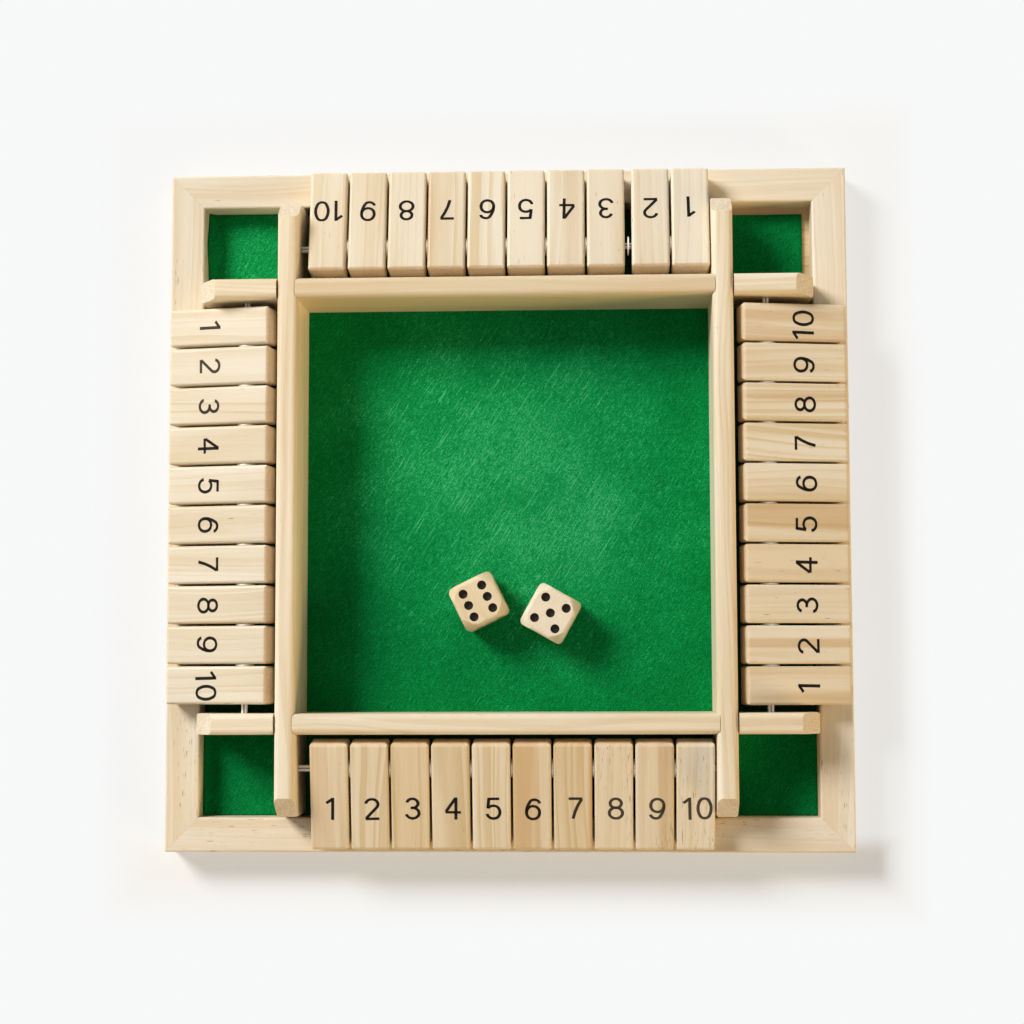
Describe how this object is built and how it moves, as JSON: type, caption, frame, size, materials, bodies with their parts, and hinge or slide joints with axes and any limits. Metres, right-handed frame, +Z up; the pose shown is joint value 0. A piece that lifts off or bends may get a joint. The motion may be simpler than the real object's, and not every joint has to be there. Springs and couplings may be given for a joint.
{
  "type": "shut the box game",
  "caption": "Square wooden dice game tray with a felt-lined central well, rounded dividing rails and hinged number tiles on steel rods along all four sides.",
  "frame": {"origin": "middle of the tray's underside, on the table", "axes": "+X to the right and +Y away from the player who reads the front row upright, +Z up"},
  "size_m": [0.22, 0.22, 0.0295],
  "materials": {
    "tray_wood": "pale pine, sanded, clear matt lacquer",
    "rail_wood": "pale pine, sanded round, clear matt lacquer",
    "tile_wood": "pale pine, edges rounded, clear matt lacquer",
    "die_wood": "tumbled beech or maple, waxed",
    "base_plywood": "plain thin plywood",
    "green_felt": "pressed wool-mix felt with a short nap",
    "steel": "bright drawn steel",
    "black_ink": "pad-printed black ink"
  },
  "bodies": {
    "board": {"tray_front": "tray_wood", "tray_right": "tray_wood", "tray_back": "tray_wood", "tray_left": "tray_wood", "base_board": "base_plywood", "felt_sheet": "green_felt", "long_rail_left": "rail_wood", "long_rail_right": "rail_wood", "middle_rail_front": "rail_wood", "middle_rail_back": "rail_wood", "stub_rails_left": "rail_wood", "stub_rails_right": "rail_wood", "rod_front": "steel", "rod_right": "steel", "rod_back": "steel", "rod_left": "steel", "spacer_washers": "steel"},
    "front_tile_1": {"front_tile_1": "tile_wood"},
    "front_tile_2": {"front_tile_2": "tile_wood"},
    "front_tile_3": {"front_tile_3": "tile_wood"},
    "front_tile_4": {"front_tile_4": "tile_wood"},
    "front_tile_5": {"front_tile_5": "tile_wood"},
    "front_tile_6": {"front_tile_6": "tile_wood"},
    "front_tile_7": {"front_tile_7": "tile_wood"},
    "front_tile_8": {"front_tile_8": "tile_wood"},
    "front_tile_9": {"front_tile_9": "tile_wood"},
    "front_tile_10": {"front_tile_10": "tile_wood"},
    "right_tile_1": {"right_tile_1": "tile_wood"},
    "right_tile_2": {"right_tile_2": "tile_wood"},
    "right_tile_3": {"right_tile_3": "tile_wood"},
    "right_tile_4": {"right_tile_4": "tile_wood"},
    "right_tile_5": {"right_tile_5": "tile_wood"},
    "right_tile_6": {"right_tile_6": "tile_wood"},
    "right_tile_7": {"right_tile_7": "tile_wood"},
    "right_tile_8": {"right_tile_8": "tile_wood"},
    "right_tile_9": {"right_tile_9": "tile_wood"},
    "right_tile_10": {"right_tile_10": "tile_wood"},
    "back_tile_1": {"back_tile_1": "tile_wood"},
    "back_tile_2": {"back_tile_2": "tile_wood"},
    "back_tile_3": {"back_tile_3": "tile_wood"},
    "back_tile_4": {"back_tile_4": "tile_wood"},
    "back_tile_5": {"back_tile_5": "tile_wood"},
    "back_tile_6": {"back_tile_6": "tile_wood"},
    "back_tile_7": {"back_tile_7": "tile_wood"},
    "back_tile_8": {"back_tile_8": "tile_wood"},
    "back_tile_9": {"back_tile_9": "tile_wood"},
    "back_tile_10": {"back_tile_10": "tile_wood"},
    "left_tile_1": {"left_tile_1": "tile_wood"},
    "left_tile_2": {"left_tile_2": "tile_wood"},
    "left_tile_3": {"left_tile_3": "tile_wood"},
    "left_tile_4": {"left_tile_4": "tile_wood"},
    "left_tile_5": {"left_tile_5": "tile_wood"},
    "left_tile_6": {"left_tile_6": "tile_wood"},
    "left_tile_7": {"left_tile_7": "tile_wood"},
    "left_tile_8": {"left_tile_8": "tile_wood"},
    "left_tile_9": {"left_tile_9": "tile_wood"},
    "left_tile_10": {"left_tile_10": "tile_wood"},
    "die_left": {"die_left": "die_wood"},
    "die_right": {"die_right": "die_wood"}
  },
  "joints": [
    {"name": "front_flip_1", "type": "hinge", "parent": "board", "child": "front_tile_1", "pos_m": [0, -0.083, 0.021], "axis": [-1, 0, 0], "range_deg": [0, 138.4]},
    {"name": "front_flip_2", "type": "hinge", "parent": "board", "child": "front_tile_2", "pos_m": [0, -0.083, 0.021], "axis": [-1, 0, 0], "range_deg": [0, 138.4]},
    {"name": "front_flip_3", "type": "hinge", "parent": "board", "child": "front_tile_3", "pos_m": [0, -0.083, 0.021], "axis": [-1, 0, 0], "range_deg": [0, 138.4]},
    {"name": "front_flip_4", "type": "hinge", "parent": "board", "child": "front_tile_4", "pos_m": [0, -0.083, 0.021], "axis": [-1, 0, 0], "range_deg": [0, 138.4]},
    {"name": "front_flip_5", "type": "hinge", "parent": "board", "child": "front_tile_5", "pos_m": [0, -0.083, 0.021], "axis": [-1, 0, 0], "range_deg": [0, 138.4]},
    {"name": "front_flip_6", "type": "hinge", "parent": "board", "child": "front_tile_6", "pos_m": [0, -0.083, 0.021], "axis": [-1, 0, 0], "range_deg": [0, 138.4]},
    {"name": "front_flip_7", "type": "hinge", "parent": "board", "child": "front_tile_7", "pos_m": [0, -0.083, 0.021], "axis": [-1, 0, 0], "range_deg": [0, 138.4]},
    {"name": "front_flip_8", "type": "hinge", "parent": "board", "child": "front_tile_8", "pos_m": [0, -0.083, 0.021], "axis": [-1, 0, 0], "range_deg": [0, 138.4]},
    {"name": "front_flip_9", "type": "hinge", "parent": "board", "child": "front_tile_9", "pos_m": [0, -0.083, 0.021], "axis": [-1, 0, 0], "range_deg": [0, 138.4]},
    {"name": "front_flip_10", "type": "hinge", "parent": "board", "child": "front_tile_10", "pos_m": [0, -0.083, 0.021], "axis": [-1, 0, 0], "range_deg": [0, 138.4]},
    {"name": "right_flip_1", "type": "hinge", "parent": "board", "child": "right_tile_1", "pos_m": [0.083, 0, 0.021], "axis": [0, -1, 0], "range_deg": [0, 138.4]},
    {"name": "right_flip_2", "type": "hinge", "parent": "board", "child": "right_tile_2", "pos_m": [0.083, 0, 0.021], "axis": [0, -1, 0], "range_deg": [0, 138.4]},
    {"name": "right_flip_3", "type": "hinge", "parent": "board", "child": "right_tile_3", "pos_m": [0.083, 0, 0.021], "axis": [0, -1, 0], "range_deg": [0, 138.4]},
    {"name": "right_flip_4", "type": "hinge", "parent": "board", "child": "right_tile_4", "pos_m": [0.083, 0, 0.021], "axis": [0, -1, 0], "range_deg": [0, 138.4]},
    {"name": "right_flip_5", "type": "hinge", "parent": "board", "child": "right_tile_5", "pos_m": [0.083, 0, 0.021], "axis": [0, -1, 0], "range_deg": [0, 138.4]},
    {"name": "right_flip_6", "type": "hinge", "parent": "board", "child": "right_tile_6", "pos_m": [0.083, 0, 0.021], "axis": [0, -1, 0], "range_deg": [0, 138.4]},
    {"name": "right_flip_7", "type": "hinge", "parent": "board", "child": "right_tile_7", "pos_m": [0.083, 0, 0.021], "axis": [0, -1, 0], "range_deg": [0, 138.4]},
    {"name": "right_flip_8", "type": "hinge", "parent": "board", "child": "right_tile_8", "pos_m": [0.083, 0, 0.021], "axis": [0, -1, 0], "range_deg": [0, 138.4]},
    {"name": "right_flip_9", "type": "hinge", "parent": "board", "child": "right_tile_9", "pos_m": [0.083, 0, 0.021], "axis": [0, -1, 0], "range_deg": [0, 138.4]},
    {"name": "right_flip_10", "type": "hinge", "parent": "board", "child": "right_tile_10", "pos_m": [0.083, 0, 0.021], "axis": [0, -1, 0], "range_deg": [0, 138.4]},
    {"name": "back_flip_1", "type": "hinge", "parent": "board", "child": "back_tile_1", "pos_m": [0, 0.083, 0.021], "axis": [1, 0, 0], "range_deg": [0, 138.4]},
    {"name": "back_flip_2", "type": "hinge", "parent": "board", "child": "back_tile_2", "pos_m": [0, 0.083, 0.021], "axis": [1, 0, 0], "range_deg": [0, 138.4]},
    {"name": "back_flip_3", "type": "hinge", "parent": "board", "child": "back_tile_3", "pos_m": [0, 0.083, 0.021], "axis": [1, 0, 0], "range_deg": [0, 138.4]},
    {"name": "back_flip_4", "type": "hinge", "parent": "board", "child": "back_tile_4", "pos_m": [0, 0.083, 0.021], "axis": [1, 0, 0], "range_deg": [0, 138.4]},
    {"name": "back_flip_5", "type": "hinge", "parent": "board", "child": "back_tile_5", "pos_m": [0, 0.083, 0.021], "axis": [1, 0, 0], "range_deg": [0, 138.4]},
    {"name": "back_flip_6", "type": "hinge", "parent": "board", "child": "back_tile_6", "pos_m": [0, 0.083, 0.021], "axis": [1, 0, 0], "range_deg": [0, 138.4]},
    {"name": "back_flip_7", "type": "hinge", "parent": "board", "child": "back_tile_7", "pos_m": [0, 0.083, 0.021], "axis": [1, 0, 0], "range_deg": [0, 138.4]},
    {"name": "back_flip_8", "type": "hinge", "parent": "board", "child": "back_tile_8", "pos_m": [0, 0.083, 0.021], "axis": [1, 0, 0], "range_deg": [0, 138.4]},
    {"name": "back_flip_9", "type": "hinge", "parent": "board", "child": "back_tile_9", "pos_m": [0, 0.083, 0.021], "axis": [1, 0, 0], "range_deg": [0, 138.4]},
    {"name": "back_flip_10", "type": "hinge", "parent": "board", "child": "back_tile_10", "pos_m": [0, 0.083, 0.021], "axis": [1, 0, 0], "range_deg": [0, 138.4]},
    {"name": "left_flip_1", "type": "hinge", "parent": "board", "child": "left_tile_1", "pos_m": [-0.083, 0, 0.021], "axis": [0, 1, 0], "range_deg": [0, 138.4]},
    {"name": "left_flip_2", "type": "hinge", "parent": "board", "child": "left_tile_2", "pos_m": [-0.083, 0, 0.021], "axis": [0, 1, 0], "range_deg": [0, 138.4]},
    {"name": "left_flip_3", "type": "hinge", "parent": "board", "child": "left_tile_3", "pos_m": [-0.083, 0, 0.021], "axis": [0, 1, 0], "range_deg": [0, 138.4]},
    {"name": "left_flip_4", "type": "hinge", "parent": "board", "child": "left_tile_4", "pos_m": [-0.083, 0, 0.021], "axis": [0, 1, 0], "range_deg": [0, 138.4]},
    {"name": "left_flip_5", "type": "hinge", "parent": "board", "child": "left_tile_5", "pos_m": [-0.083, 0, 0.021], "axis": [0, 1, 0], "range_deg": [0, 138.4]},
    {"name": "left_flip_6", "type": "hinge", "parent": "board", "child": "left_tile_6", "pos_m": [-0.083, 0, 0.021], "axis": [0, 1, 0], "range_deg": [0, 138.4]},
    {"name": "left_flip_7", "type": "hinge", "parent": "board", "child": "left_tile_7", "pos_m": [-0.083, 0, 0.021], "axis": [0, 1, 0], "range_deg": [0, 138.4]},
    {"name": "left_flip_8", "type": "hinge", "parent": "board", "child": "left_tile_8", "pos_m": [-0.083, 0, 0.021], "axis": [0, 1, 0], "range_deg": [0, 138.4]},
    {"name": "left_flip_9", "type": "hinge", "parent": "board", "child": "left_tile_9", "pos_m": [-0.083, 0, 0.021], "axis": [0, 1, 0], "range_deg": [0, 138.4]},
    {"name": "left_flip_10", "type": "hinge", "parent": "board", "child": "left_tile_10", "pos_m": [-0.083, 0, 0.021], "axis": [0, 1, 0], "range_deg": [0, 138.4]},
    {"name": "die_left_lift", "type": "slide", "parent": "board", "child": "die_left", "axis": [0, 0, 1], "range_m": [0, 0.05]},
    {"name": "die_right_lift", "type": "slide", "parent": "board", "child": "die_right", "axis": [0, 0, 1], "range_m": [0, 0.05]}
  ]
}
